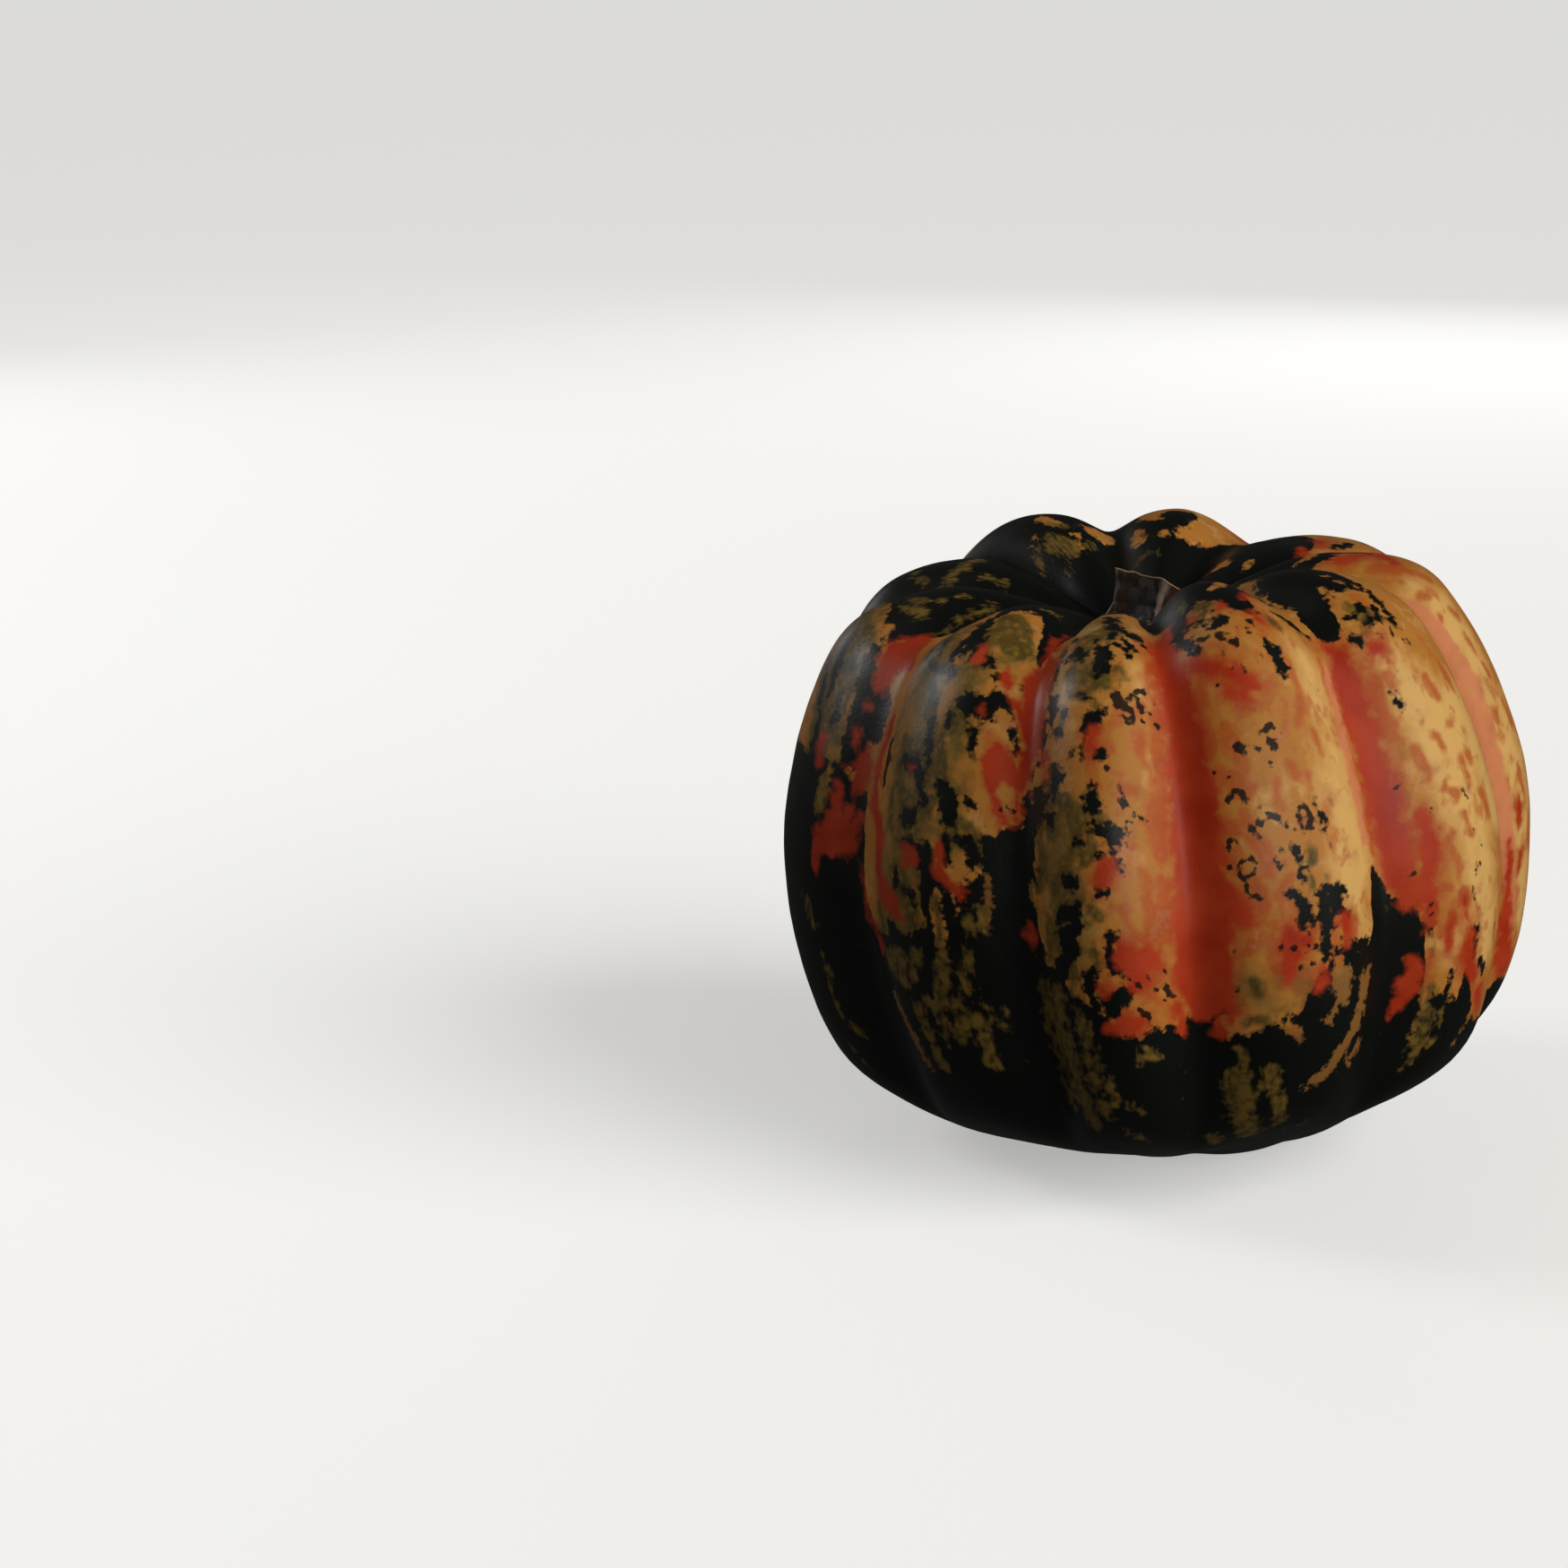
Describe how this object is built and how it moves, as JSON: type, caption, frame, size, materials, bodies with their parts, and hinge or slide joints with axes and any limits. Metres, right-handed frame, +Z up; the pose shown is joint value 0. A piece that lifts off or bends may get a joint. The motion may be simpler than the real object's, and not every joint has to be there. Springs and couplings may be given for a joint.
{
  "type": "pumpkin",
  "caption": "Squat, deeply ribbed pumpkin, a small winter squash with mottled cream, orange and dark green rind and a short dry stem, standing on a small flat spot.",
  "frame": {"origin": "middle of the small flat spot that the fruit rests on", "axes": "+Z up, -Y towards the side that the picture shows, +X to the right of it"},
  "size_m": [0.1573, 0.1567, 0.1265],
  "materials": {
    "rind": "satin waxy rind, cream mottled with orange furrows and dark green blotches",
    "dry_stem": "matt, dry and corky, with a paler cut rim"
  },
  "bodies": {
    "root": {"fruit": "rind", "stem": "dry_stem"}
  },
  "joints": []
}
